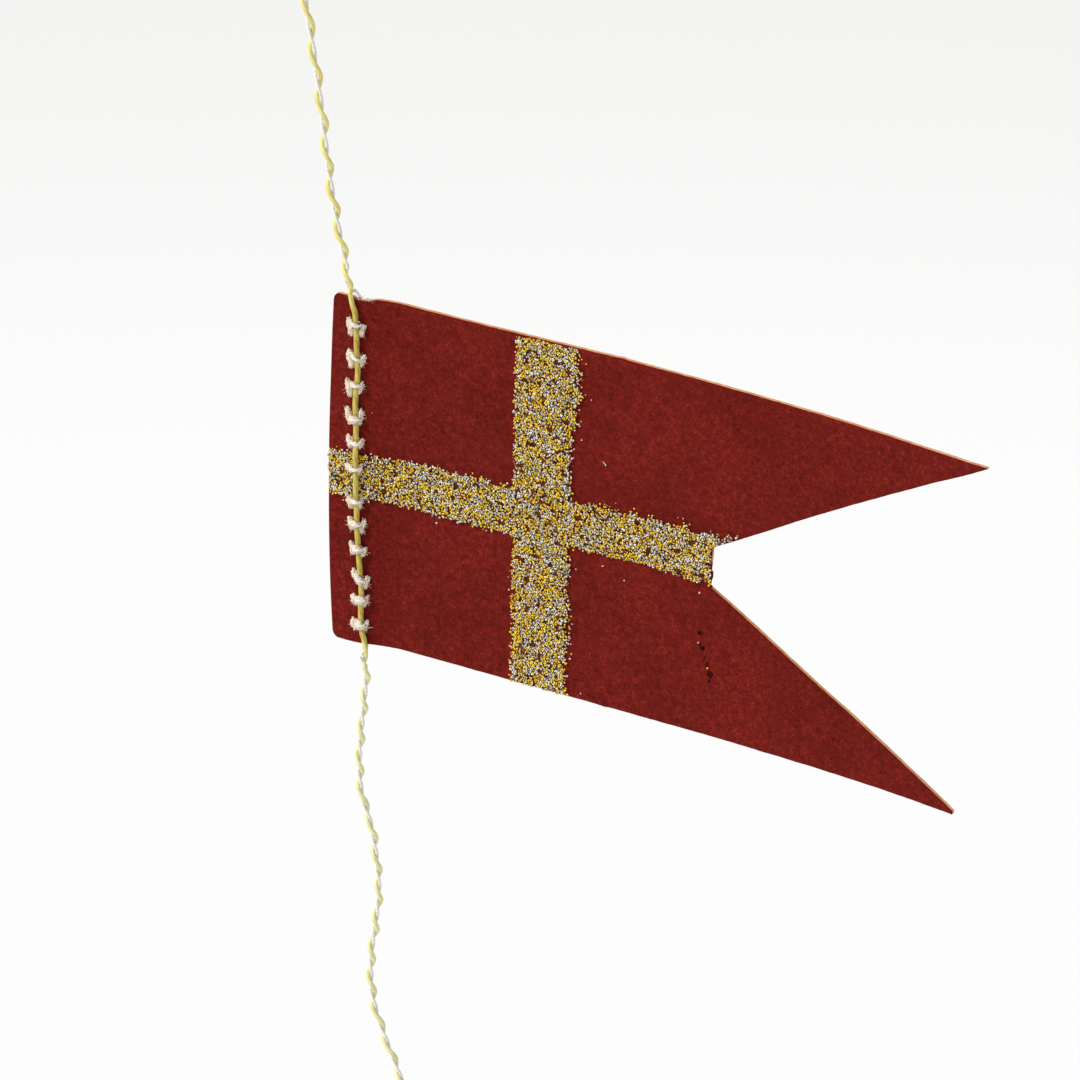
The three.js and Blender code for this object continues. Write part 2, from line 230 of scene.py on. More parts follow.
# %% Value: maths on a shader socket
class Value:
    """A shader socket that can be added and multiplied like a number."""

    def __init__(self, paint, socket):
        self.paint = paint
        self.socket = socket

    def _with(self, operation, first, second):
        return self.paint.node("ShaderNodeMath", {"operation": operation}, {0: first, 1: second})

    def __add__(self, other):
        return self._with("ADD", self, other)

    def __rsub__(self, other):
        return self._with("SUBTRACT", other, self)

    def __mul__(self, other):
        return self._with("MULTIPLY", self, other)

    def between(self, low, high):
        """0 at low and 1 at high, and smooth from one to the other."""
        return self.paint.node(
            "ShaderNodeMapRange",
            {"interpolation_type": "SMOOTHSTEP"},
            {"Value": self, "From Min": low, "From Max": high},
        )


def rgb(red, green, blue):
    """A colour as seen on screen, 0 to 255, as Blender's linear numbers."""
    def linear(level):
        share = level / 255
        return share / 12.92 if level <= 10 else ((share + 0.055) / 1.055) ** 2.4
    return (linear(red), linear(green), linear(blue), 1)


print("screen red 120 is linear", round(rgb(120, 30, 28)[0], 3))


# %% Paint: one material
class Paint:
    """One material, and the one way in which its nodes are added."""

    def __init__(self, name, roughness=0.8, metallic=0.0, gloss=0.5):
        self.material = bpy.data.materials.new(name)
        self.material.use_nodes = True
        self.tree = self.material.node_tree
        self.shader = self.tree.nodes["Principled BSDF"]
        self.shader.inputs["Roughness"].default_value = roughness
        self.shader.inputs["Metallic"].default_value = metallic
        self.shader.inputs["Specular IOR Level"].default_value = gloss

    def feed(self, socket, value):
        if isinstance(value, Value):
            self.tree.links.new(value.socket, socket)
        else:
            socket.default_value = value

    def node(self, kind, settings=None, inputs=None, output=0):
        made = self.tree.nodes.new(kind)
        for key, setting in (settings or {}).items():
            setattr(made, key, setting)
        for key, value in (inputs or {}).items():
            self.feed(made.inputs[key], value)
        return Value(self, made.outputs[output])

    def ramp(self, value, *stops):
        """A colour for each of the value's levels, from low to high: (level, screen colour)."""
        ramped = self.node("ShaderNodeValToRGB", None, {"Fac": value})
        colours = ramped.socket.node.color_ramp
        while len(colours.elements) < len(stops):
            colours.elements.new(1)
        for element, (level, colour) in zip(colours.elements, stops):
            element.position = level
            element.color = rgb(*colour)
        return ramped

    def where(self):
        """Each point's place on its own object."""
        return self.node("ShaderNodeTexCoord", output=3)

    def grain(self, size, detail=2.0, stretch=None, turn=(0, 0, 0), roughness=0.5):
        """Noise whose lumps are about that many millimetres across."""
        spot = self.where()
        if stretch:
            mapping = {"Vector": spot, "Scale": stretch, "Rotation": turn}
            spot = self.node("ShaderNodeMapping", None, mapping)
        return self.node("ShaderNodeTexNoise", None, {
            "Vector": spot, "Scale": 1000 / size, "Detail": detail, "Roughness": roughness,
        })

    def mix(self, factor, first, second):
        return self.node(
            "ShaderNodeMix", {"data_type": "RGBA"}, {0: factor, 6: first, 7: second}, output=2
        )

    def colour(self, value):
        self.feed(self.shader.inputs["Base Color"], value)

    def emboss(self, height, depth_mm, strength=1.0):
        bumped = self.node("ShaderNodeBump", None, {
            "Height": height, "Distance": depth_mm * MM, "Strength": strength,
        })
        self.feed(self.shader.inputs["Normal"], bumped)


def dress(piece, paint, slot, *nodes):
    """Gives a piece its finish and its body, and hides the solids it stands for; its slot is not used.
    """
    piece.data.materials.append(paint.material)
    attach(piece, "root")
    if nodes:
        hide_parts(*nodes)
    return piece


print("materials so far:", len(bpy.data.materials))

# %% [markdown]
# ## The twisted pair
# A soft yellow yarn and a thin white sewing thread hang together and are twisted round each other.
# On its way down the yellow one passes in front towards the right, so the twist is left-handed. The
# thin one is pulled tighter: it stays near the axis, and the yarn winds wide round it. Each thread
# gets a route down the axis, a number of turns at each height, and a small radius for its coil,
# which dies away where the pair reaches the card.

# %% Routes and turns
HANG_BACK = -0.6
YELLOW_RADIUS, FREE_RADIUS, WHITE_RADIUS = 0.305, 0.25, 0.18
# How wide each thread's coil is above the card, and below it.
YELLOW_COIL, WHITE_COIL = (0.35, 0.3), (0.14, 0.14)
# The pair's axis from its top down: how high, and how far out.
UPPER_ROUTE = [
    (35.1, -2.45), (32.8, -2.05), (26.0, -0.95), (20.8, -0.24), (15.9, 0.3), (11.3, 0.96),
    (6.7, 1.85), (3.0, 2.66), (1.1, 2.84),
]
LOWER_ROUTE = [
    (-41.3, 4.37), (-44.9, 4.28), (-48.8, 3.86), (-52.8, 3.5), (-56.1, 3.48), (-58.7, 3.85),
    (-61.1, 4.7), (-65.0, 5.4), (-69.0, 5.69), (-73.0, 5.31), (-76.9, 4.75), (-80.7, 4.63),
    (-84.0, 5.15), (-87.8, 6.57), (-91.9, 8.31), (-93.4, 8.95),
]
# What is over this height belongs to the pair above the card. Its twist slackens upwards, until
# one turn takes TOP_PITCH at the height SLACKEST.
MIDDLE = -20
UPPER_PITCH, TOP_PITCH, SLACKEST, LOWER_PITCH = 4.07, 5.9, 33, 3.79


def turns_at(up):
    """How many turns the pair has made on its way down to a height."""
    if up > MIDDLE:
        slack = (1 / TOP_PITCH - 1 / UPPER_PITCH) * up * up / (2 * SLACKEST)
        return 0.6 - up / UPPER_PITCH - slack
    return 0.25 + (-43.9 - up) / LOWER_PITCH


def coiled(line, coil, ahead):
    """The line's points carried round the pair's axis, except beside the card. A whole turn has
    the thread on the side that faces the camera."""
    wound = line.copy()
    for point in wound:
        radius = coil[0] if point[2] > MIDDLE else coil[1]
        free = max(smoothstep(point[2], 0.5, 2.4), smoothstep(-point[2], 40.9, 42.6))
        angle = 2 * math.pi * (turns_at(point[2]) + ahead) + AZIMUTH
        point[0] += radius * free * math.sin(angle)
        point[1] -= radius * free * math.cos(angle)
    return wound


upper_axis = [(out, HANG_BACK, up) for up, out in UPPER_ROUTE]
lower_axis = [(out, HANG_BACK, up) for up, out in LOWER_ROUTE]
print("turns above and below:", round(turns_at(1) - turns_at(35), 1),
      round(turns_at(-93) - turns_at(-41), 1))

# %% [markdown]
# ## The seam
# The machine's bobbin held the yellow yarn, so it lies on the face in one run. The thin needle
# thread comes up through the card at each of twelve holes, passes over the yarn and goes back down.
# The seam wanders, because the card was fed by hand. Over the glitter everything is raised a little.

# %% Seam and stitch tables
SEAM = [
    (0.0, 2.9), (0.6, 3.13), (1.3, 3.34), (4.1, 3.49), (5.5, 3.5), (8.3, 3.6), (11.5, 3.32),
    (15.0, 3.35), (18.0, 3.4), (21.0, 3.42), (24.6, 3.32), (27.4, 3.39), (30.5, 3.55), (33.8, 3.75),
    (36.3, 3.66), (38.7, 3.78), (39.6, 4.0), (40.2, 4.12),
]
# How far down each hole is, how far its stitch drops to the right, and how tall the torn patch over
# the yarn is. Then each lobe beside the yarn: how far across from the seam, how far down, how tall.
STITCHES = [
    (2.62, 0.4, 0.5, (-0.68, 3.1, 1.95), (0.56, 3.4, 1.3)),
    (6.5, 0.7, 0.45, (-0.78, 6.85, 2.05), (0.44, 6.9, 1.4)),
    (9.66, 0.1, 0.5, (-0.85, 10.25, 1.95), (0.36, 10.05, 1.4)),
    (13.63, 0.0, 0.9, (-0.8, 13.45, 1.85), (0.42, 13.45, 1.85)),
    (16.43, 0.1, 0.55, (-0.76, 16.5, 1.4), (0.4, 16.5, 1.2)),
    (19.33, 0.0, 0.4, (-0.78, 19.5, 1.05), (0.28, 19.45, 1.25)),
    (23.2, 0.1, 0.6, (-0.78, 23.55, 1.4), (0.3, 23.4, 1.5)),
    (25.9, 0.1, 0.8, (-0.68, 26.1, 1.4), (0.52, 26.2, 1.55)),
    (28.8, 0.15, 1.0, (-0.66, 28.95, 1.4), (0.52, 29.2, 1.05)),
    (32.3, 0.7, 1.2, (-0.58, 32.05, 1.4), (0.46, 32.75, 1.4)),
    (34.8, 0.0, 1.0, (-0.78, 35.0, 1.2), (0.4, 35.0, 1.3)),
    (37.7, 0.3, 1.0, (-0.78, 37.9, 1.35), (0.34, 37.95, 1.3)),
]
seam_line = smooth_path([(down, out, 0) for down, out in SEAM], 0.1)


def seam_out(down):
    return float(np.interp(down, seam_line[:, 0], seam_line[:, 1]))


def raised(down):
    """How much higher the yarn lies where it crosses the glitter."""
    return 0.3 * smoothstep(down, 16.2, 17.6) * (1 - smoothstep(down, 22.4, 23.8))


def seam_point(down, back, across=0.0):
    """A point beside the seam, its depth counted from the card's middle, towards the back."""
    out = seam_out(down) + across
    return (out, set_back(out) + back, -down)


print("stitches are", [round(b[0] - a[0], 2) for a, b in zip(STITCHES, STITCHES[1:])], "mm apart")

# %% The yellow yarn's whole run, cut at the card's two edges
YARN_STEP, NEEDLE_STEP = 0.11, 0.1
on_face = CARD_THICK / 2 + YELLOW_RADIUS


def parted(run, top, bottom):
    """A run's three parts: above the card, in the seam, and below the card."""
    top_end = int((run[:, 2] > top).sum())
    low_start = len(run) - int((run[:, 2] < bottom).sum())
    return run[:top_end + 1], run[top_end:low_start + 1], run[low_start:]


face_run = [seam_point(down, -on_face - raised(down)) for down in np.arange(0.5, 40.0, 0.75)]
yellow_run = smooth_path([*upper_axis, *face_run, *lower_axis], YARN_STEP)
yellow_parts = parted(evenly(coiled(yellow_run, YELLOW_COIL, 0), YARN_STEP), 0.8, -40.9)
upper_yellow_line, seam_yellow_line, lower_yellow_line = yellow_parts
print("yellow yarn, mm:", [round(length_of(part), 1) for part in yellow_parts])

# %% The white thread's whole run, through every hole
HALF_TURN = 0.5
# How far the needle thread bows off the card and off the yarn.
BOW = 0.12
upper_white_part = coiled(smooth_path(upper_axis, YARN_STEP), WHITE_COIL, HALF_TURN)
lower_white_part = coiled(smooth_path(lower_axis, YARN_STEP), WHITE_COIL, HALF_TURN)
behind = CARD_THICK / 2 + WHITE_RADIUS
over_yarn = on_face + YELLOW_RADIUS + BOW
white_points = [tuple(p) for p in upper_white_part[:-24:4]]
white_points += [
    (2.3, -0.55, 2.4), (2.47, -0.5, 1.75), (2.6, -0.3, 1.15), (2.88, 0.05, 0.75),
    (3.2, -0.1, 1.0), (3.55, -0.1, 0.62), (3.5, 0.35, 0.1),
    seam_point(0.7, behind), seam_point(1.6, behind + BOW),
]
for down, drop, *_ in STITCHES:
    lift = raised(down)
    white_points += [
        seam_point(down - 0.25, behind, -0.05),
        seam_point(down - 0.05, 0, -0.2),
        seam_point(down - drop / 2, -behind - BOW - lift, -0.6),
        seam_point(down - drop / 3, 0.16 - over_yarn - lift, -0.36),
        seam_point(down, -over_yarn - lift),
        seam_point(down + drop / 3, 0.16 - over_yarn - lift, 0.34),
        seam_point(down + drop / 2, -behind - BOW - lift, 0.5),
        seam_point(down + 0.08, 0, 0.2),
        seam_point(down + 0.3, behind, 0.08),
        seam_point(down + 1.2, behind + BOW, 0.02),
    ]
white_points += [(3.9, 0.42, -40.25), (4.2, -0.3, -40.75), (4.0, -1.05, -41.15)]
white_points += [tuple(p) for p in lower_white_part[12::4]]
white_parts = parted(smooth_path(white_points, NEEDLE_STEP), 1.3, -41.4)
upper_white_line, needle_line, lower_white_line = white_parts
print("white thread, mm:", [round(length_of(part), 1) for part in white_parts])

# %% [markdown]
# ## Spinning a thread
# A real thread is two or three plies twisted together. The thick yarn is swept as one tube whose
# section has a shallow valley for each ply, turning as it goes. The thin one is really three
# filaments: each gets its own tube round the path. Both carry a UV map that runs along and round,
# so that their finish can follow the fibres.


# %% Sweep a lobed section along a line
def swept(line, radius, sides, plies=1, valley=0.0, pitch=3.0, orbit=0.0, start=0.0, taper=0.0):
    """Rings of a twisted section along the line, as vertices, faces and UVs, in millimetres."""
    side, up = frames_along(line)
    run = run_of(line)
    twist = -2 * np.pi * run / pitch + start
    centre = line + orbit * (np.cos(twist)[:, None] * side + np.sin(twist)[:, None] * up)
    angle = np.linspace(0, 2 * np.pi, sides, endpoint=False)
    lobe = 1 - valley * (0.5 - 0.5 * np.cos(plies * (angle[None, :] - twist[:, None])))
    wide = radius * (1 - taper * (run / run[-1]))
    reach = lobe * wide[:, None]
    ring = (reach * np.cos(angle))[:, :, None] * side[:, None, :]
    ring += (reach * np.sin(angle))[:, :, None] * up[:, None, :]
    vertices = (centre[:, None, :] + ring).reshape(-1, 3)
    faces, uvs = [], []
    for i in range(len(line) - 1):
        for j in range(sides):
            corners = ((i, j), (i, j + 1), (i + 1, j + 1), (i + 1, j))
            faces.append(tuple(r * sides + c % sides for r, c in corners))
            uvs += [(run[r], c / sides) for r, c in corners]
    faces += [tuple(range(sides - 1, -1, -1)), tuple(range(len(vertices) - sides, len(vertices)))]
    uvs += [(0, 0)] * sides + [(run[-1], 0)] * sides
    return vertices, faces, uvs


def thread_object(name, sweeps):
    """One object from several sweeps, in the model's metres."""
    vertices, faces, uvs = [], [], []
    for part_vertices, part_faces, part_uvs in sweeps:
        shift = sum(len(v) for v in vertices)
        vertices.append(part_vertices)
        faces += [tuple(i + shift for i in face) for face in part_faces]
        uvs += part_uvs
    made = mesh_object(name, to_metres(np.concatenate(vertices)), faces)
    layer = made.data.uv_layers.new(name="along")
    layer.data.foreach_set("uv", np.array(uvs, dtype=np.float32).ravel())
    return made


print("one step of an eight-sided tube has", len(swept(plumb, 0.1, 8)[1]), "faces")

# %% The yarn and the sewing thread
YARN_PLIES, YARN_PITCH = 3, 5.0
FILAMENT_RADIUS, FILAMENT_ORBIT = 0.098, 0.084


def yarn_radius(up):
    """The yarn is drawn thin where it hangs, and spreads where the stitches press it flat."""
    in_seam = (1 - smoothstep(up, -1.2, 0.8)) * smoothstep(up, -40.9, -39.2)
    return FREE_RADIUS + (YELLOW_RADIUS - FREE_RADIUS) * in_seam


def yarn(name, line, paint, node, pinches=()):
    """The thick yellow yarn: three soft plies, squeezed where a stitch holds it."""
    wide = np.array([yarn_radius(up) for up in line[:, 2]])
    for down in pinches:
        wide *= 1 - 0.14 * np.exp(-(((line[:, 2] + down) / 0.4) ** 2))
    sweep = swept(line, wide, 24, plies=YARN_PLIES, valley=0.06, pitch=YARN_PITCH)
    return dress(thread_object(name, [sweep]), paint, "yellow_thread", node)


def sewing_thread(name, line, paint, node):
    """The thin white thread: three filaments round each other."""
    sweeps = [
        swept(line, FILAMENT_RADIUS, 8, pitch=1.6, orbit=FILAMENT_ORBIT, start=k * 2 * math.pi / 3)
        for k in range(3)
    ]
    return dress(thread_object(name, sweeps), paint, "white_thread", node)


print("the yarn's radius in the air and in the seam:", yarn_radius(10), yarn_radius(-20), "mm")

# %% [markdown]
# ## Finishes of the threads
# The yarn is soft and slightly shiny. Fine fibres run slantwise along its plies, and its valleys
# are painted a little darker, as painted shade. The run below the card is painted paler, as painted
# light from the bright ground round it, and the run in the seam is painted deep yellow, as painted
# shade for the less light it gets on the card: it takes on the upper run's tones within its last two
# millimetres. The sewing thread is nearly white, and a fine slanted ribbing is all it shows.

# %% Thread finishes
# Each yarn's deep, middle and pale tone, and where on the noise they lie.
TONE_LEVELS = (0.2, 0.45, 0.72)
ABOVE_TONES = ((206, 192, 104), (230, 220, 134), (244, 238, 170))
# The run below the card is painted paler than the run above: painted light, for the glare of the bright
# ground round it.
LIT_PALER_BELOW_TONES = ((210, 200, 134), (232, 226, 168), (244, 241, 204))
# The run in the seam is painted deeper: painted shade, for the less light that reaches it on the card.
SHADED_SEAM_TONES = ((160, 138, 50), (192, 172, 74), (216, 200, 114))
END_BLEND = 1.8


def yarn_finish(name, tones, end_tones=None):
    """Plies and fibres along the yarn's own UV map, with painted shade in the ply valleys, and other
    tones at its ends if they're given.
    """
    paint = Paint(name, roughness=0.7, gloss=0.3)
    along = paint.node("ShaderNodeUVMap", {"uv_map": "along"})
    split = paint.node("ShaderNodeSeparateXYZ", None, {"Vector": along})
    run_mm = Value(paint, split.socket.node.outputs["X"])
    round_share = Value(paint, split.socket.node.outputs["Y"])
    turns = round_share * YARN_PLIES + run_mm * (YARN_PLIES / YARN_PITCH)
    ply = paint.node("ShaderNodeMath", {"operation": "SINE"}, {0: turns * (2 * math.pi)})
    fibre = paint.grain(0.09, detail=3, stretch=(1, 1, 0.25))
    # The ply wave darkens the valleys between the plies a little: painted shade. It also feeds the
    # bump.
    level = ply * 0.07 + fibre * 0.5 + paint.grain(1.6) * 0.45
    tone = paint.ramp(level, *zip(TONE_LEVELS, tones))
    # The seam's run keeps its painted shade over its middle, and takes the end tones within END_BLEND
    # mm of each end.
    if end_tones:
        to_end = length_of(seam_yellow_line) - run_mm
        shaded_middle = run_mm.between(0, END_BLEND) * to_end.between(0, END_BLEND)
        tone = paint.mix(shaded_middle, paint.ramp(level, *zip(TONE_LEVELS, end_tones)), tone)
    paint.colour(tone)
    paint.emboss(fibre + ply * 0.3, 0.03, 0.5)
    return paint


yarn_paint = yarn_finish("yellow yarn", ABOVE_TONES)
lit_paler_paint = yarn_finish("yellow yarn painted paler below the card", LIT_PALER_BELOW_TONES)
shaded_seam_paint = yarn_finish("yellow yarn in the seam, in painted shade", SHADED_SEAM_TONES, ABOVE_TONES)

white_paint = Paint("white sewing thread", roughness=0.5)
streak = white_paint.grain(0.12, stretch=(1, 1, 0.4))
white_paint.colour(white_paint.ramp(streak, (0.3, (226, 220, 210)), (0.6, (245, 242, 236))))
white_paint.emboss(streak, 0.02, 0.4)
print("thread finishes:", [p.material.name for p in (yarn_paint, lit_paler_paint, shaded_seam_paint, white_paint)])

# %% [markdown]
# ## Knots
# Outside the photograph the pair ends in a hanging loop above and a stopper below. Both are tied
# the same way: the yarn runs through the knot's middle and is wrapped round itself two and a
# quarter times. The loop's leg comes back down before it is wrapped, and its end sticks out.

# %% Knot paths
KNOT_REACH, KNOT_STEP, YARN_WRAPS = 1.35, 0.12, 2.25
LOOP_LEAN = math.radians(-9.7)


def wraps(radius, bottom, top, turns, start):
    """Points of a helix round the knot's middle, from its top to its bottom or the other way."""
    steps = round(turns * 10)
    return [
        (radius * math.cos(start + 2 * math.pi * turns * i / steps),
         radius * math.sin(start + 2 * math.pi * turns * i / steps),
         bottom + (top - bottom) * i / steps)
        for i in range(steps + 1)
    ]


def from_knot(points, centre, tilt):
    """Points given round a knot's own centre, turned and carried to the knot."""
    turn = np.array(Matrix.Rotation(tilt, 3, "Y"))
    return [tuple(turn @ np.array(p) + np.array(centre)) for p in points]


top_up, top_out = UPPER_ROUTE[0]
low_up, low_out = LOWER_ROUTE[-1]
upper_knot = (top_out + KNOT_REACH * math.sin(LOOP_LEAN), HANG_BACK, top_up + KNOT_REACH)
end_knot = (low_out + 0.5, HANG_BACK, low_up - KNOT_REACH)

loop_shape = [
    (0, 0, -0.7), (0.05, 0, 0), (-0.12, 0, 0.8), (-0.5, 0, 1.3), (-1.93, 0, 3.0), (-2.3, 0, 6.6),
    (-1.56, 0, 9.9), (0, 0, 11), (1.56, 0, 9.9), (2.3, 0, 6.6), (1.93, 0, 3.0), (0.6, 0, 1.35),
    (0.3, 0.1, 0.6), (0.3, 0.1, -0.4),
]
loop_wraps = wraps(0.72, -0.72, 0.62, YARN_WRAPS, math.pi / 2)
loop_knot = [*loop_shape, *loop_wraps, (0.9, -1.0, 0.95), (1.5, -1.1, 1.7)]
loop_knot = from_knot(loop_knot, upper_knot, LOOP_LEAN)
loop_yellow_line = smooth_path([upper_yellow_line[0], *loop_knot], KNOT_STEP)
stopper_wraps = wraps(0.68, 0.62, -0.66, YARN_WRAPS, 0)
stopper = [(0, 0, 0.7), *stopper_wraps, (0.3, 0.3, -1.1), (0.75, 0.1, -2.6), (1.6, 0, -5.5)]
knot_yellow_line = smooth_path([lower_yellow_line[-1], *from_knot(stopper, end_knot, 0)], KNOT_STEP)
print("loop and stopper take", round(length_of(loop_yellow_line), 1), "and",
      round(length_of(knot_yellow_line), 1), "mm of yarn")

# %% The thin thread round the loop and in the stopper
LEG_STEP, LEG_PITCH, OFF_LEG = 0.3, 4.2, 0.5
leg = smooth_path(from_knot(loop_shape[3:12], upper_knot, LOOP_LEAN), LEG_STEP)
leg_side, leg_up = frames_along(leg)
leg_turn = 2 * np.pi * np.arange(len(leg)) * LEG_STEP / LEG_PITCH
beside_leg = leg + OFF_LEG * (np.cos(leg_turn)[:, None] * leg_side + np.sin(leg_turn)[:, None] * leg_up)
into_knot = [(-0.2, -0.3, -0.6), (-0.2, -0.3, 0.5)]
white_wraps = [
    (0.2, -0.3, 0.6), (0.1, -0.4, -0.5), *wraps(1.12, -0.55, 0.45, 1.1, -math.pi / 2),
    (-0.9, -1.2, 0.9), (-1.5, -1.3, 1.6),
]
loop_white_line = smooth_path([
    upper_white_line[0],
    *from_knot(into_knot, upper_knot, LOOP_LEAN),
    *beside_leg[::2],
    *from_knot(white_wraps, upper_knot, LOOP_LEAN),
], KNOT_STEP)
white_stopper = [
    (-0.2, -0.35, 0.7), *wraps(1.1, 0.45, -0.5, 1.2, math.pi), (-0.3, 0.3, -1.2), (-0.6, 0.1, -2.4),
    (-1.28, 0, -4.4),
]
white_stopper = from_knot(white_stopper, end_knot, 0)
knot_white_line = smooth_path([lower_white_line[-1], *white_stopper], KNOT_STEP)
print("and", round(length_of(loop_white_line), 1), "and", round(length_of(knot_white_line), 1),
      "mm of sewing thread")

loop_yellow = yarn("loop_yellow", loop_yellow_line, yarn_paint, "hanging_loop")
loop_white = sewing_thread("loop_white", loop_white_line, white_paint, "hanging_loop")
knot_yellow = yarn("knot_yellow", knot_yellow_line, lit_paler_paint, "end_knot")
knot_white = sewing_thread("knot_white", knot_white_line, white_paint, "end_knot")


def declare(piece, line):
    """Prints the name and length of a thread that hangs free."""
    print(piece.name, round(length_of(line), 1), "mm")


upper_yellow = yarn("yarn_above", upper_yellow_line, yarn_paint, "upper_yellow")
upper_white = sewing_thread("thread_above", upper_white_line, white_paint, "upper_white")
lower_yellow = yarn("yarn_below", lower_yellow_line, lit_paler_paint, "lower_yellow")
lower_white = sewing_thread("thread_below", lower_white_line, white_paint, "lower_white")
declare(upper_yellow, upper_yellow_line)
declare(upper_white, upper_white_line)
declare(lower_yellow, lower_yellow_line)
declare(lower_white, lower_white_line)
yarn("seam_yarn", seam_yellow_line, shaded_seam_paint, "seam_thread", [row[0] for row in STITCHES])
sewing_thread("needle_stitches", needle_line, white_paint, "needle_thread")

# %% [markdown]
# ## The card
# The flag is cut from one sheet of stiff card, red through both faces and pale in its core. It is
# modelled flat, one unit to the millimetre: a fine grid is bisected along the notch's cuts, the
# waste is deleted, the edges are moved to where the scissors went, and Solidify gives it its
# 0.53 mm. Its faces are then carried onto the bent shape, vertex by vertex.


# %% Editing helpers
def only(piece):
    """Selects one object alone and makes it active."""
    bpy.ops.object.select_all(action="DESELECT")
    piece.select_set(True)
    bpy.context.view_layer.objects.active = piece
    return piece


def pick_faces(piece, wanted):
    """Selects, in edit mode, the faces whose centre is wanted."""
    bpy.ops.object.mode_set(mode="EDIT")
    bpy.ops.mesh.select_mode(type="FACE")
    bpy.ops.mesh.select_all(action="DESELECT")
    bpy.ops.object.mode_set(mode="OBJECT")
    for face in piece.data.polygons:
        face.select = wanted(face.center)
    bpy.ops.object.mode_set(mode="EDIT")


def cut_line(piece, start, end, wanted):
    """Bisects the wanted faces along a straight line drawn on the card, given as out and up."""
    pick_faces(piece, wanted)
    along_cut = Vector((end[0] - start[0], 0, end[1] - start[1])).normalized()
    normal = along_cut.cross(Vector((0, 1, 0)))
    bpy.ops.mesh.bisect(plane_co=(start[0], 0, start[1]), plane_no=normal)
    bpy.ops.object.mode_set(mode="OBJECT")


def delete_faces(piece, wanted):
    pick_faces(piece, wanted)
    bpy.ops.mesh.delete(type="FACE")
    bpy.ops.object.mode_set(mode="OBJECT")


def split_faces(piece, wanted):
    """Cuts each of the wanted faces in four."""
    pick_faces(piece, wanted)
    bpy.ops.mesh.subdivide(number_cuts=1)
    bpy.ops.object.mode_set(mode="OBJECT")


def modify(piece, kind, **settings):
    """Gives a piece one modifier with these settings, and applies it."""
    only(piece)
    modifier = piece.modifiers.new(kind.lower(), kind)
    for key, setting in settings.items():
        setattr(modifier, key, setting)
    bpy.ops.object.modifier_apply(modifier=modifier.name)


def flat_grid(name, columns, rows, wide, tall, middle):
    """An upright grid of faces, one unit to the millimetre."""
    bpy.ops.object.select_all(action="DESELECT")
    bpy.ops.mesh.primitive_grid_add(
        x_subdivisions=columns, y_subdivisions=rows, size=1, rotation=(math.pi / 2, 0, 0),
        location=middle,
    )
    sheet = bpy.context.object
    sheet.name = sheet.data.name = name
    sheet.scale = (wide, tall, 1)
    bpy.ops.object.transform_apply(location=True, rotation=True, scale=True)
    return sheet


def below(point, start, end):
    """How far a point is below a line that runs outwards on the card."""
    share = (point.x - start[0]) / (end[0] - start[0])
    return start[1] + share * (end[1] - start[1]) - point.z


# %% A flat sheet with its swallow tail
NOTCH_FLOOR = 44.9
# Where the scissors went in and came out at each cut, as out and up.
FLOOR_CUT = ((NOTCH_FLOOR, -17), (NOTCH_FLOOR, -25))
UPPER_CUT = ((45.0, -18.7), (77.35, -0.02))
LOWER_CUT = ((44.9, -23.5), (74.0, -39.9))
BLUNT_CUT = ((74.0, -39.7), (73.6, -40.2))


def is_waste(c):
    """Whether a face lies in the notch, or beyond the blunt lower tip."""
    in_notch = below(c, *UPPER_CUT) > 0 > below(c, *LOWER_CUT)
    return c.x > NOTCH_FLOOR and (in_notch or (c.z < -38 and c.x + c.z * 0.8 > 42.1))


card = flat_grid("red_card", 156, 81, UPPER_FLY, CARD_TALL, (UPPER_FLY / 2, 0, -CARD_TALL / 2))
cut_line(card, *FLOOR_CUT, lambda c: 44 < c.x < 46)
cut_line(card, *UPPER_CUT, lambda c: c.x > NOTCH_FLOOR)
cut_line(card, *LOWER_CUT, lambda c: c.x > NOTCH_FLOOR)
cut_line(card, *BLUNT_CUT, lambda c: c.x > 72 and c.z < -38)
delete_faces(card, is_waste)
print("flat card:", len(card.data.polygons), "faces,",
      round(sum(f.area for f in card.data.polygons)), "square mm")

# %% Finer faces beside the hoist, and the needle's holes
HOLES = [(seam_out(row[0]), -row[0]) for row in STITCHES]
HOLE_RADIUS = 0.24


def nearest_hole(point):
    return min(math.hypot(point.x - out, point.z - up) for out, up in HOLES)


split_faces(card, lambda c: c.x < 6)
split_faces(card, lambda c: nearest_hole(c) < 0.9)
delete_faces(card, lambda c: nearest_hole(c) < HOLE_RADIUS)
print("with its holes:", len(card.data.polygons), "faces")

# %% Where the scissors strayed
CORNER = 0.85
# The hoist edge is a curve from its bottom to its top, drawn towards a point outside the card.
HOIST = ((0.1, -39.4), (-0.675, -24.0), (0.7, -0.8))
# How much higher than the square sheet the top edge was cut, at each distance out.
TOP_RISE = (
    [0, 5, 18, 33, 42, 50, 60, 70, 78],
    [0.24, 0.19, 0.24, 0.51, 0.47, 0.38, 0.31, 0.22, 0.32],
)
# A torn tuft stands out of the top edge and of the bottom edge, this far out.
TOP_TUFT, BOTTOM_TUFT = 34.1, 32.1


def hoist_line(up):
    """How far out the hoist edge stands at a height. The share runs from its bottom to its top."""
    (low_out, low_up), (pull_out, pull_up), (high_out, high_up) = HOIST
    pull, bend = pull_up - low_up, high_up + low_up - 2 * pull_up
    share = (math.sqrt(pull ** 2 + bend * max(0, min(high_up, up) - low_up)) - pull) / bend
    rest = 1 - share
    return low_out * rest ** 2 + 2 * pull_out * share * rest + high_out * share ** 2


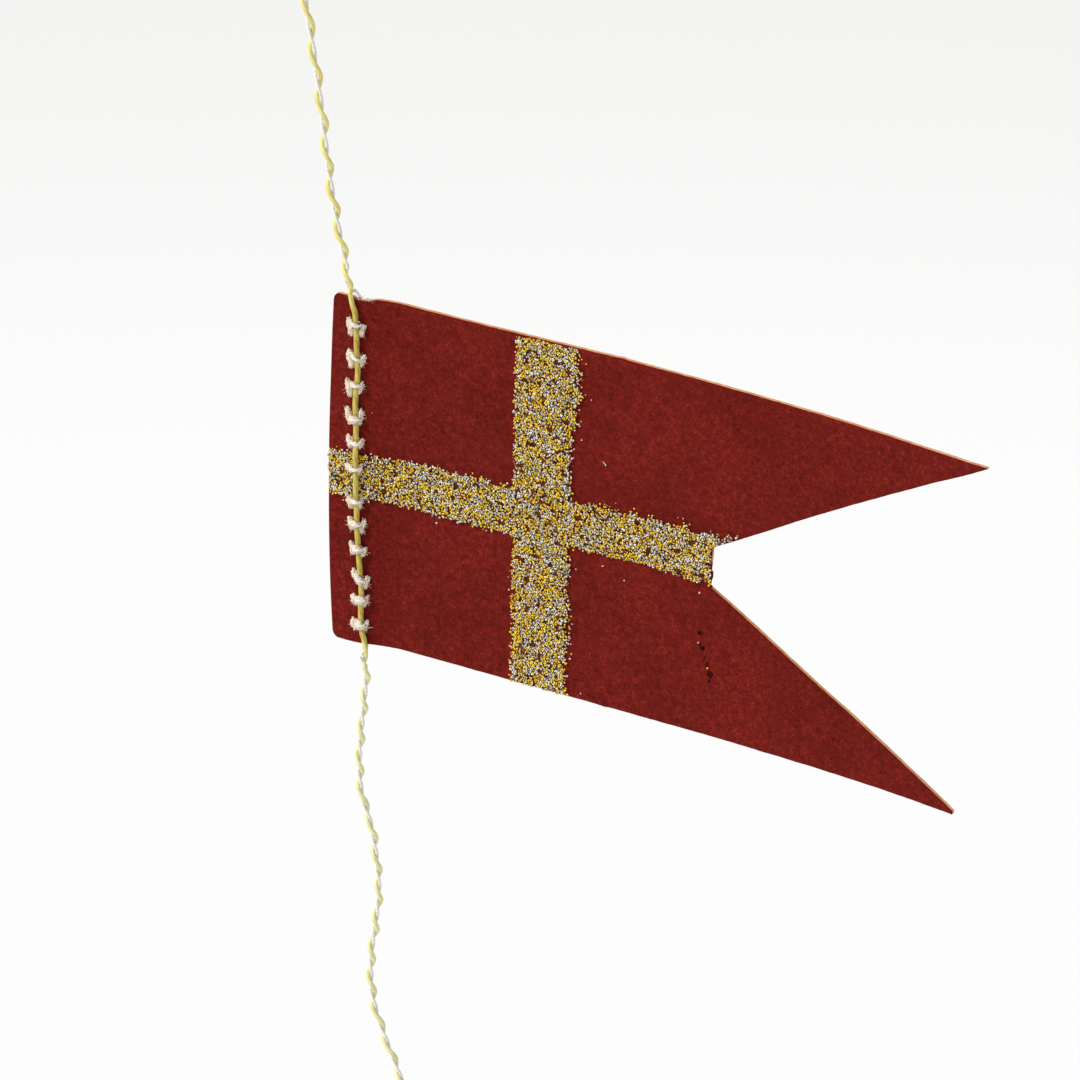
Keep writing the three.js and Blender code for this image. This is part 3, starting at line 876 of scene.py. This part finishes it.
def risen(point):
    """How much higher the hand-cut shape is than the square sheet, above the notch's middle."""
    weight = max(
        smoothstep(point.z, -1.5, 0), smoothstep(point.x, 6, 12) * smoothstep(point.z, -23, -19)
    )
    return weight * float(np.interp(point.x, *TOP_RISE))


def rounded(point, corner, radius, x_way, z_way):
    """Draws the square at a corner in to a quarter circle."""
    a = 1 - (point.x - corner[0]) * x_way / radius
    b = 1 - (point.z - corner[1]) * z_way / radius
    if a > 0 and b > 0:
        a, b = a * math.sqrt(max(0, 1 - b * b / 2)), b * math.sqrt(max(0, 1 - a * a / 2))
        point.x = corner[0] + (1 - a) * radius * x_way
        point.z = corner[1] + (1 - b) * radius * z_way


def near_cut(point, cut, reach):
    """1 on a cut, and 0 beyond its reach."""
    return 1 - smoothstep(abs(below(point, *cut)), 0, reach)


print("the hoist edge is bowed out by", round(-min(hoist_line(-up) for up in range(40)), 2), "mm")


# %% The hand-cut outline
def cut_by_hand(spot, on_edge):
    """Moves a point of the square sheet to where the scissors and the needle left it."""
    rounded(spot, (0, 0), CORNER, 1, -1)
    rounded(spot, (0, -CARD_TALL), CORNER, 1, 1)
    spot.x += hoist_line(spot.z) * max(0, 1 - spot.x / 2.4)
    # The notch's floor slants inwards, and both cuts are lifted near it.
    if abs(spot.x - NOTCH_FLOOR) < 0.05 and -23.4 < spot.z < -18.6:
        spot.x -= 0.35 * smoothstep(-spot.z, 18.6, 22.5)
    if spot.x > 43 and spot.z < -22:
        spot.z += 0.45 * near_cut(spot, LOWER_CUT, 3) * (1 - smoothstep(spot.x, 45, 57))
    if spot.x > 43 and spot.z > -20:
        along_tail = smoothstep(spot.x, 48, 58) * (1 - smoothstep(spot.x, 69, 75))
        spot.z += near_cut(spot, UPPER_CUT, 1.5) * (0.08 + 0.2 * along_tail)
    # The top edge rises and falls, and dips where the thread pulls over it.
    dip = smoothstep(spot.x, 2.9, 3.4) * (1 - smoothstep(spot.x, 4.2, 5.6))
    lifted = risen(spot) - 0.32 * dip * smoothstep(spot.z, -1.7, -0.2)
    if on_edge and nearest_hole(spot) > 0.6:
        wander = noise.noise((spot.x * 0.5, 7, spot.z * 0.5))
        rough = noise.noise((spot.x * 2.3, 3, spot.z * 2.3))
        spot.z += 0.03 * wander + 0.02 * rough
        if spot.z > -0.4:
            spot.z += 0.16 * max(0, 1 - abs(spot.x - TOP_TUFT) / 0.45)
        if spot.z < -39.9:
            spot.z -= 0.12 * max(0, 1 - abs(spot.x - BOTTOM_TUFT) / 0.45)
    spot.z += lifted
    # The needle pushed the card out towards the front around each hole.
    push = max(0.0, 1 - nearest_hole(spot) / 0.95)
    spot.y = 0.05 * noise.noise((spot.x * 0.16, 11, spot.z * 0.16)) - 0.3 * push ** 2


faces_beside = Counter(key for face in card.data.polygons for key in face.edge_keys)
edge_points = {point for key, count in faces_beside.items() if count == 1 for point in key}
for vertex in card.data.vertices:
    cut_by_hand(vertex.co, vertex.index in edge_points)
print("edge points:", len(edge_points))

# %% [markdown]
# ## The card's finish
# Pressed red card is mottled: its fibres took the dye unevenly, in flecks about half a millimetre
# wide, with a few pinker hairs. The dye didn't reach the core, so the cut edges show a warm tan
# line under a thin red skin. To get both, the solid card is bisected just inside its front, and
# the rim in front of that cut is painted red again.

# %% Card faces
RED_DEEP, RED_PALE = (70, 10, 7), (136, 37, 29)
card_paint = Paint("red card", roughness=0.9, gloss=0.1)
cloud = card_paint.grain(12)
mottle = card_paint.grain(0.55, detail=4, roughness=0.7)
fleck = card_paint.grain(0.22)
red = card_paint.ramp(
    cloud * 0.15 + mottle * 0.5 + fleck * 0.35,
    (0.35, RED_DEEP), (0.46, (96, 18, 12)), (0.54, (109, 23, 16)), (0.65, RED_PALE),
)
hair = card_paint.grain(0.3, detail=1, stretch=(1, 1, 0.3), turn=(0, 0.9, 0))
card_paint.colour(card_paint.mix(hair.between(0.7, 0.85), red, rgb(128, 38, 31)))
card_paint.emboss(mottle * 0.6 + fleck * 0.4, 0.05, 0.4)
print("red card from", RED_DEEP, "to", RED_PALE)

# %% Cut edges
core_paint = Paint("pale card core", roughness=0.9, gloss=0.2)
ply_line = core_paint.grain(0.25, detail=3, stretch=(0.4, 3, 0.4))
core_paint.colour(core_paint.ramp(
    ply_line, (0.3, (184, 110, 66)), (0.5, (214, 148, 98)), (0.7, (234, 186, 140)),
))
core_paint.emboss(ply_line, 0.05, 0.6)
dress(card, card_paint, "red_card", "flag_card")
card.data.materials.append(core_paint.material)
print("the card carries", len(card.data.materials), "finishes")

# %% Thickness, soft edges and the bend
RED_SKIN = -0.1
modify(card, "SOLIDIFY", thickness=CARD_THICK, offset=0, material_offset_rim=1)
pick_faces(card, lambda c: True)
bpy.ops.mesh.bisect(plane_co=(0, RED_SKIN, 0), plane_no=(0, 1, 0))
bpy.ops.object.mode_set(mode="OBJECT")
for face in card.data.polygons:
    if face.center.y < RED_SKIN:
        face.material_index = 0
modify(card, "BEVEL", width=0.05, segments=2, limit_method="ANGLE", angle_limit=math.radians(60))


def carry_to_card(piece):
    """Carries a piece that was modelled flat, in millimetres, onto the bent card."""
    for vertex in piece.data.vertices:
        vertex.co = on_card(*vertex.co)
    piece.data.update()
    return piece


carry_to_card(card)
only(card)
bpy.ops.object.shade_smooth_by_angle(angle=math.radians(40))
rims = sum(1 for face in card.data.polygons if face.material_index == 1)
print("card:", len(card.data.polygons), "faces,", rims, "of them on its cut edges")

# %% [markdown]
# ## The glitter cross
# A Nordic cross was drawn on the card with glue, and gold and silver grains were strewn on it. Its
# edges are ragged, and stray grains lie beside them, mostly to the right of the upright. First
# comes one rule that says how far inside the cross a point is. The glue and the grains both use it.

# %% How far inside the cross
# Two edges are straight: where each starts, and how far it has drifted at its end. The other two
# wander: distances along each, and where it is there.
ARM_TOP, ARM_CLIMB = 17.9, 1.1
UPRIGHT_LEFT, UPRIGHT_DRIFT = 21.95, 0.7
ARM_BOTTOM = ([0, 17, 29, 37, 44.5], [22.9, 22.95, 22.3, 22.1, 22.4])
UPRIGHT_RIGHT = ([0, 5, 9, 12, 17, 40.2], [29.0, 29.1, 28.6, 27.9, 28.0, 27.6])
TAIL_SLOPE = (UPPER_CUT[1][1] - UPPER_CUT[0][1]) / (UPPER_CUT[1][0] - UPPER_CUT[0][0])


def inside_cross(out, up):
    """Millimetres inside the cross's drawn edge, less than 0 outside it."""
    down = -up
    under_arm_top = down - ARM_TOP + ARM_CLIMB * out / NOTCH_FLOOR
    past_left = out - UPRIGHT_LEFT + UPRIGHT_DRIFT * down / CARD_TALL
    arm = min(under_arm_top, float(np.interp(out, *ARM_BOTTOM)) - down)
    upright = min(past_left, float(np.interp(down, *UPRIGHT_RIGHT)) - out)
    return max(arm, upright)


def fringe_at(out, up):
    """How wide the ragged fringe is. It is widest to the right of the upright."""
    return 0.25 + 0.5 * smoothstep(out, 26, 28) * smoothstep(abs(up + 20), 2.5, 4)


def ragged(out, up):
    """How far the grains spread past the drawn edge."""
    wide_waves = fringe_at(out, up) * noise.noise((out * 0.7, 5, up * 0.7))
    return wide_waves + 0.3 * noise.noise((out * 2.6, 9, up * 2.6))


def inside_card(out, up):
    """Millimetres inside the card's outline near the cross."""
    over_cut = up - UPPER_CUT[0][1] - 0.5 - TAIL_SLOPE * (out - NOTCH_FLOOR)
    over_notch = over_cut * math.cos(math.atan(TAIL_SLOPE))
    under_top = float(np.interp(out, *TOP_RISE)) - up
    return min(out - hoist_line(up), under_top, CARD_TALL + up, max(NOTCH_FLOOR - out, over_notch))


print("the crossing's middle is", round(inside_cross(25, -20), 2), "mm inside")

# %% The glue under the grains
CROSS_REACH = 49


def is_bare(c):
    """Whether the card is bare of glue at a face."""
    return inside_cross(c.x, c.z) + ragged(c.x, c.z) < 0.12 or inside_card(c.x, c.z) < 0.18


glue = flat_grid("glue_under_glitter", 163, 134, CROSS_REACH, 40.8, (24.4, 0, -19.8))
delete_faces(glue, is_bare)
for vertex in glue.data.vertices:
    lump = noise.noise(vertex.co * 1.1) * 0.03 + noise.noise(vertex.co * 3.1) * 0.02
    vertex.co.y = -CARD_THICK / 2 - 0.07 + lump
modify(glue, "SOLIDIFY", thickness=0.12, offset=-1)
modify(glue, "SMOOTH", factor=0.5, iterations=3)
carry_to_card(glue)
only(glue)
bpy.ops.object.shade_smooth()

# The glue is real, and its dark browns also stand in for the shade between the grains: partly painted
# shade.
glue_paint = Paint("dried glue darkened as shade between grains", roughness=0.6, gloss=0.15)
stain_and_shade = glue_paint.grain(0.5, detail=3)
glue_paint.colour(glue_paint.ramp(
    stain_and_shade, (0.35, (60, 18, 8)), (0.55, (106, 48, 14)), (0.7, (142, 90, 28)),
))
glue_paint.emboss(stain_and_shade, 0.08, 0.6)
dress(glue, glue_paint, "glitter", "glitter_cross")
print("glue:", len(glue.data.polygons), "faces")

# %% [markdown]
# ## The grains
# Each grain is a squashed ball about a quarter of a millimetre across. There are thousands, so one
# twenty-sided ball is copied in arrays: each copy gets its own size, flatness, turn and place. The
# places are a shaken honeycomb, with some left out, so the grains crowd but don't lie in
# each other.

# %% Where the grains lie
dice = random.Random(41)
SPACING, HONEYCOMB, SHAKE = 0.232, 0.866, 0.07
grains = []
rows = int((CARD_TALL + 0.6) / (SPACING * HONEYCOMB)) + 1
for row in range(rows):
    up = 0.55 - row * SPACING * HONEYCOMB
    for column in range(int(CROSS_REACH / SPACING)):
        out = (column + 0.5 * (row % 2)) * SPACING + dice.uniform(-SHAKE, SHAKE)
        high = up + dice.uniform(-SHAKE, SHAKE)
        depth = inside_cross(out, high) + ragged(out, high)
        fringe = fringe_at(out, high)
        if inside_card(out, high) < 0.02 or depth < -fringe:
            continue
        gap = noise.noise((out * 1.4, 21, high * 1.4))
        if gap < -0.4 or dice.random() > 0.9 * smoothstep(depth, -fringe, 0.3 * fringe):
            continue
        grains.append((out, high, dice.uniform(0.0, 0.11), dice.uniform(0.1, 0.145)))
print("grains on the cross:", len(grains))

# %% Stray grains beside it
# Stands in place of a grain's height in the heap, for one that lies on the bare card.
ON_CARD = -1
strays = []
while len(strays) < 120:
    out, up = dice.uniform(0.2, 44.8), dice.uniform(-40, -0.2)
    away = -inside_cross(out, up)
    reach = 0.5 if out > 28 and abs(up + 20) > 3.5 else 0.25
    if 0 < away < 3 and inside_card(out, up) > 0.2 and dice.random() < math.exp(-away / reach):
        strays.append((out, up, ON_CARD, dice.uniform(0.09, 0.135)))
lone_flake = [
    (32.12, -11.72, ON_CARD, 0.1), (32.26, -11.86, ON_CARD, 0.11), (32.4, -12.0, ON_CARD, 0.1),
]
specks = [(4.9, -12.85, ON_CARD, 0.06), (43.44, -29.6, ON_CARD, 0.13)]
gold_speck = (44.49, -32.31, ON_CARD, 0.12)
print("stray grains:", len(strays))


# %% Copy one ball to every place
def ball_object(subdivisions):
    bpy.ops.object.select_all(action="DESELECT")
    bpy.ops.mesh.primitive_ico_sphere_add(subdivisions=subdivisions, radius=1)
    return bpy.context.object


ball = ball_object(1)
ball_points = np.array([v.co for v in ball.data.vertices])
ball_faces = np.array([f.vertices for f in ball.data.polygons])
bpy.data.objects.remove(ball)


def strewn(name, places, tints):
    """One mesh of many squashed balls, with a level for each in an attribute: partly its own tone and
    partly painted glint.
    """
    count = len(places)
    points = np.empty((count, len(ball_points), 3))
    for i, (out, up, lift, size) in enumerate(places):
        flat = dice.uniform(0.55, 0.95)
        spin, tip = dice.uniform(0, 6.3), dice.uniform(-0.6, 0.6)
        turn = np.array(Matrix.Rotation(spin, 3, "Y") @ Matrix.Rotation(tip, 3, "X"))
        grain = (ball_points * (size, size * flat, size * dice.uniform(0.8, 1.1))) @ turn.T
        back = -CARD_THICK / 2 - 0.1 - size * flat * 0.6 - lift
        if lift == ON_CARD:
            back = -CARD_THICK / 2 - size * flat * 0.7
        points[i] = np.array(on_card(out, back, up)) / MM + grain
    faces = (ball_faces[None] + np.arange(count)[:, None, None] * len(ball_points)).reshape(-1, 3)
    made = mesh_object(name, points.reshape(-1, 3) * MM, faces.tolist())
    tone_and_glint = made.data.attributes.new("tone_and_glint", "FLOAT", "POINT")
    tone_and_glint.data.foreach_set("value", np.repeat(tints, len(ball_points)).astype(np.float32))
    return made


everywhere = grains + strays
is_gold = [noise.noise((p[0] * 0.8, 2, p[1] * 0.8)) * 0.5 + dice.random() < 0.46 for p in everywhere]
gold_places = [p for p, gold in zip(everywhere, is_gold) if gold] + [gold_speck]
silver_places = [p for p, gold in zip(everywhere, is_gold) if not gold] + lone_flake + specks
gold_grains = strewn("gold_grains", gold_places, [dice.random() for p in gold_places])
silver_grains = strewn("silver_grains", silver_places, [dice.random() for p in silver_places])
print("gold:", len(gold_places), "silver:", len(silver_places))

# %% [markdown]
# ## The grains' finish
# Metallised grains reflect the studio: most of what one sees is bright, with a dark rim. Paint with
# a third of metal keeps that look without the noise of pure mirrors, so the pale base colours are
# partly painted reflection of the white studio. Each grain's level moves it between a pale and a deep
# tone: partly its own tone, and partly painted glint for how brightly each grain catches the light.
# A few gold ones are amber.


# %% Gold and silver
def grain_paint(name, *stops):
    paint = Paint(name, roughness=0.35, metallic=0.3)
    # Each grain's level picks its colour: partly its own tone, partly painted glint.
    tone_and_glint = paint.node("ShaderNodeAttribute", {"attribute_name": "tone_and_glint"}, output=2)
    paint.colour(paint.ramp(tone_and_glint, *stops))
    return paint


gold_paint = grain_paint(
    "gold grains",
    (0.0, (162, 92, 4)), (0.15, (212, 160, 2)), (0.6, (236, 198, 8)), (1.0, (248, 222, 50)),
)
silver_paint = grain_paint(
    "silver grains",
    (0.0, (112, 104, 88)), (0.25, (180, 174, 156)), (0.7, (214, 210, 196)), (1.0, (244, 242, 234)),
)
dress(gold_grains, gold_paint, "glitter", "glitter_cross")
dress(silver_grains, silver_paint, "glitter", "glitter_cross")
print("the grains' finishes:", gold_paint.material.name, "and", silver_paint.material.name)

# %% [markdown]
# ## The torn card at each stitch
# The needle came from the back and tore a burr of pale fibres out of the face at each hole. Two
# lobes of it stand beside the yarn like a butterfly's wings, and a thin fibrous patch is drawn over
# the yarn between them. A ball is squashed and roughened for each, and loose fibres are swept from
# the lobes' rims.


# %% Lobes, the patch over the yarn, and loose fibres
def rough_ball(seed, shape):
    """A roughened ball, each of whose points is carried to the place that shape gives for it."""
    ball = ball_object(4)
    for vertex in ball.data.vertices:
        x, y, z = vertex.co
        coarse = noise.noise((x * 1.9 + seed, y * 1.9, z * 1.9)) * 0.4
        fine = noise.noise((x * 6.5, y * 6.5 + seed, z * 6.5)) * 0.36
        out, back, up = shape(vertex.co * (1 + coarse + fine))
        vertex.co = place(out, set_back(out) + back, up)
    return ball


def torn_lobe(side, across, down, tall, seed):
    out, lift = seam_out(down) + across, raised(down) * 0.7
    wide = 0.38 if side < 0 else 0.29
    return rough_ball(seed, lambda p: (
        out + p.x * wide + side * 0.2 * max(p.z, -0.4),
        -CARD_THICK / 2 - 0.17 - lift + p.y * 0.28,
        -down + p.z * tall / 2,
    ))


def torn_patch(down, drop, tall, seed):
    out, lift = seam_out(down) - 0.06, raised(down)
    return rough_ball(seed, lambda p: (
        out + p.x * 0.6,
        -on_face - lift - 0.4 * math.sqrt(max(0, 1 - (p.x * 0.85) ** 2)) + p.y * 0.12,
        -down - p.x * drop / 2 + p.z * tall / 2,
    ))


def loose_fibre(start, way, longest):
    """One tapered fibre that stands out from a torn rim, as a sweep in the flag's millimetres."""
    way = np.array(way) + [dice.gauss(0, 0.45) for axis in range(3)]
    way *= dice.uniform(0.35, 1) * longest / np.linalg.norm(way)
    curl = np.array([dice.gauss(0, 0.1) for axis in range(3)])
    line = np.array([np.array(start) + way * t + curl * t * t for t in (0, 0.35, 0.7, 1)])
    return swept(line, dice.uniform(0.018, 0.04), 4, taper=0.75)


torn_paint = Paint("torn card fibres", roughness=0.95, gloss=0.1)
tuft = torn_paint.grain(0.3, detail=4, roughness=0.7)
torn_paint.colour(torn_paint.ramp(
    tuft,
    (0.3, (204, 152, 138)), (0.42, (226, 204, 184)), (0.58, (237, 226, 206)), (0.8, (247, 243, 230)),
))
torn_paint.emboss(tuft, 0.12, 0.8)
print("torn card ready, over a yarn that stands", round(on_face + YELLOW_RADIUS, 2), "mm off")

# %% Twelve torn holes
FIBRES_PER_LOBE = 24


def joined(name, parts):
    """Joins the parts to one smooth piece."""
    only(parts[0])
    for part in parts:
        part.select_set(True)
    bpy.ops.object.join()
    bpy.ops.object.shade_smooth()
    parts[0].name = parts[0].data.name = name
    return parts[0]


for number, (down, drop, tall, *lobes) in enumerate(STITCHES, 1):
    parts = [torn_patch(down, drop, tall, number + 80)]
    sweeps = []
    for side, (across, lobe_down, lobe_tall) in zip((-1, 1), lobes):
        parts.append(torn_lobe(side, across, lobe_down, lobe_tall, number + 20 * side))
        for i in range(FIBRES_PER_LOBE):
            turn = dice.uniform(0, 2 * math.pi)
            out = seam_out(lobe_down) + across + 0.3 * math.cos(turn)
            back = set_back(out) - 0.42 - raised(down) * 0.7
            start = (out, back, -lobe_down + 0.4 * lobe_tall * math.sin(turn))
            sweeps.append(loose_fibre(start, (math.cos(turn), -0.3, math.sin(turn)), 0.46))
    burr = joined(f"torn_card_{number:02d}", parts)
    dress(burr, torn_paint, "torn_card", f"stitch_{number:02d}")
    fibres = thread_object(f"loose_fibres_{number:02d}", sweeps)
    dress(fibres, torn_paint, "torn_card", f"stitch_{number:02d}")
print("torn holes:", len(STITCHES))


# %% Fibres along the torn top edge beside the thread, and two red tufts
def red_tuft(out, up, spread, way, longest, count):
    """Fibres of the card's red skin that stand out from one spot of a cut edge."""
    back = set_back(out) - 0.1
    return [loose_fibre((out + dice.gauss(0, spread), back, up), way, longest) for i in range(count)]


edge_fibres = []
for i in range(70):
    out = 3.3 + 1.7 * dice.random() ** 1.2
    start = (out, set_back(out) + dice.uniform(-0.27, 0.2), dice.uniform(-0.08, 0.02))
    edge_fibres.append(loose_fibre(start, (0.9, 0, 0.5), 0.55))
dress(thread_object("top_edge_fibres", edge_fibres), torn_paint, "torn_card", "flag_card")
tufts = red_tuft(TOP_TUFT, 0.05, 0.12, (0.3, 0, 1), 0.3, 9)
tufts += red_tuft(BOTTOM_TUFT, -40.2, 0.1, (0, 0, -1), 0.2, 5)
dress(thread_object("red_tufts", tufts), card_paint, "red_card", "flag_card")
print("edge fibres:", len(edge_fibres) + len(tufts))

# %% [markdown]
# ## A smear of glue
# Beside the notch's floor a little glue ran down and dried nearly black, in broken patches with two
# grains in them. Each patch is a low lens, roughened and laid on the card.

# %% Glue smear
# Each patch's middle, as out and up, and how far it reaches sideways and upwards.
SMEARS = [
    (43.56, -28.5, 0.33, 0.18), (43.55, -29.75, 0.12, 0.25), (43.85, -30.16, 0.3, 0.25),
    (44.05, -31.35, 0.09, 0.3), (44.4, -31.95, 0.16, 0.32), (44.78, -33.0, 0.4, 0.4),
    (44.68, -33.8, 0.13, 0.26),
]
patches = []
for number, (out, up, wide, tall) in enumerate(SMEARS):
    patch = ball_object(4)
    for vertex in patch.data.vertices:
        x, y, z = vertex.co
        grow = 1 + 0.75 * noise.noise((x * 1.6 + 5 * number, 4, z * 1.6))
        sideways = (x * wide + z * tall * 0.25) * grow
        vertex.co = on_card(out + sideways, -CARD_THICK / 2 + y * 0.05, up + z * tall * grow)
    patches.append(patch)
smear = joined("glue_smear", patches)
smear_paint = Paint("nearly black glue", roughness=0.85, gloss=0.05)
thin = smear_paint.grain(0.35, detail=3)
smear_paint.colour(smear_paint.ramp(
    thin, (0.35, (18, 3, 2)), (0.55, (46, 8, 6)), (0.7, (84, 16, 10)),
))
dress(smear, smear_paint, "glitter")
print("smear:", len(smear.data.polygons), "faces")

# %% [markdown]
# ## Floor and light
# The photograph has a plain, nearly white ground and one soft light from the upper left, which puts
# a dark line to the right of the yarn. The floor lies well below the flag, so that no shadow of it
# is in view, and a white world fills in from all round.

# %% Floor, sun and world
bpy.ops.object.select_all(action="DESELECT")
bpy.ops.mesh.primitive_plane_add(size=24, location=(0, 0, -0.7))
floor = bpy.context.object
floor.name = "floor"
floor_paint = Paint("pale floor with painted falloff", roughness=1.0)
place_on_floor = {0: floor_paint.where()}
distance = floor_paint.node(
    "ShaderNodeVectorMath", {"operation": "LENGTH"}, place_on_floor, output=1
)
# The floor is painted darker from 1.15 m to 1.55 m out from its middle: painted shade, for light that
# falls off with distance.
far = distance.between(1.15, 1.55)
floor_paint.colour(floor_paint.mix(far, (0.87, 0.87, 0.868, 1), (0.79, 0.79, 0.78, 1)))
floor.data.materials.append(floor_paint.material)

right_hand = Vector((math.cos(AZIMUTH), math.sin(AZIMUTH), 0))
camera_up = toward_camera.cross(right_hand)
sun_data = bpy.data.lights.new("key", "SUN")
sun_data.energy = 2.6
sun_data.angle = math.radians(11)
sun = bpy.data.objects.new("key", sun_data)
toward_sun = (toward_camera * 0.5 - right_hand * 0.65 + camera_up * 0.5).normalized()
sun.rotation_euler = toward_sun.to_track_quat("Z", "Y").to_euler()
bpy.context.scene.collection.objects.link(sun)

world = bpy.data.worlds.new("white studio")
world.use_nodes = True
sky = world.node_tree.nodes["Background"]
sky.inputs["Color"].default_value = (1, 1, 1, 1)
sky.inputs["Strength"].default_value = 0.55
bpy.context.scene.world = world
bpy.context.scene.view_settings.view_transform = "Standard"
print("sun height", round(math.degrees(math.asin(toward_sun.z)), 1), "degrees")
